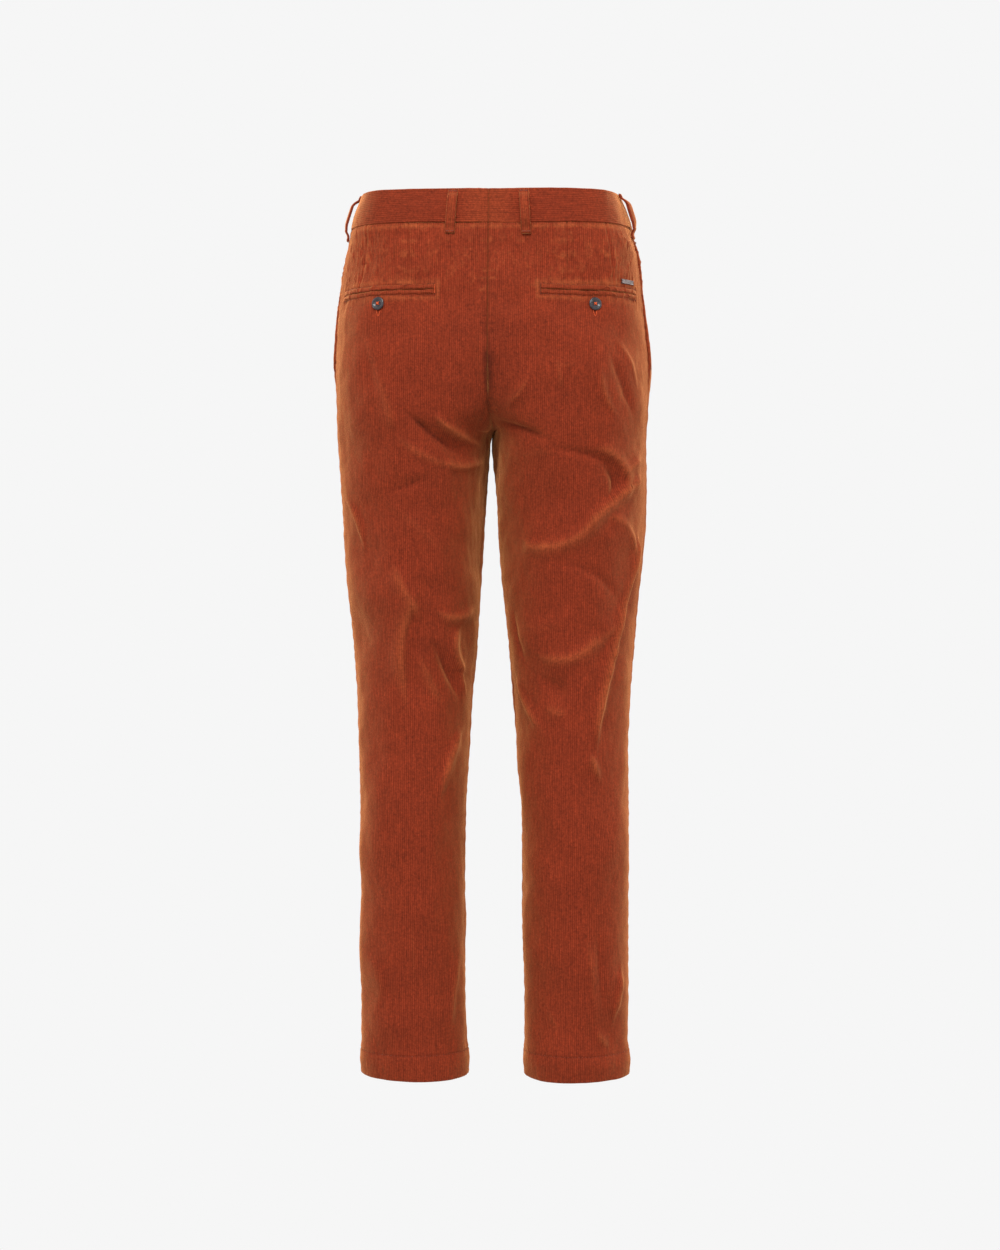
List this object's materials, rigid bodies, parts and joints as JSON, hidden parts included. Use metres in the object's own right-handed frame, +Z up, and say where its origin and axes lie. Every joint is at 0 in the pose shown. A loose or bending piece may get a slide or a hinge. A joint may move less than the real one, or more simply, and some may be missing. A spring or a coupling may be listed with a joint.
{
  "type": "corduroy trousers",
  "caption": "Tapered flat-front corduroy trousers, filled out as if worn, with waistband, belt loops, slanted front pockets and buttoned welt pockets at the back.",
  "frame": {"origin": "middle of the waist opening, halfway up the waistband, where the wearer's waist holds the trousers", "axes": "+Z up through the waist opening, -Y towards the front of the garment, +X towards the wearer's left"},
  "size_m": [0.3681, 0.2499, 1.024],
  "materials": {
    "corduroy": "fine-wale cotton corduroy with a soft nap",
    "corduroy_inside": "matt back of the cloth",
    "thread": "matt sewing thread",
    "button": "semi-gloss horn look",
    "plate": "dark satin metal"
  },
  "bodies": {
    "root": {"back_left": "corduroy", "back_right": "corduroy", "button_front": "button", "button_left": "button", "button_right": "button", "fly_shield": "corduroy_inside", "front_left": "corduroy", "front_right": "corduroy", "loop_back_left": "corduroy", "loop_back_right": "corduroy", "loop_front_left": "corduroy", "loop_front_right": "corduroy", "loop_side_left": "corduroy", "loop_side_right": "corduroy", "plate": "plate", "pocket_facing_left": "corduroy", "pocket_facing_right": "corduroy", "waistband_left": "corduroy", "waistband_right": "corduroy", "welt_lower_left": "corduroy", "welt_lower_right": "corduroy", "welt_upper_left": "corduroy", "welt_upper_right": "corduroy"}
  },
  "joints": []
}
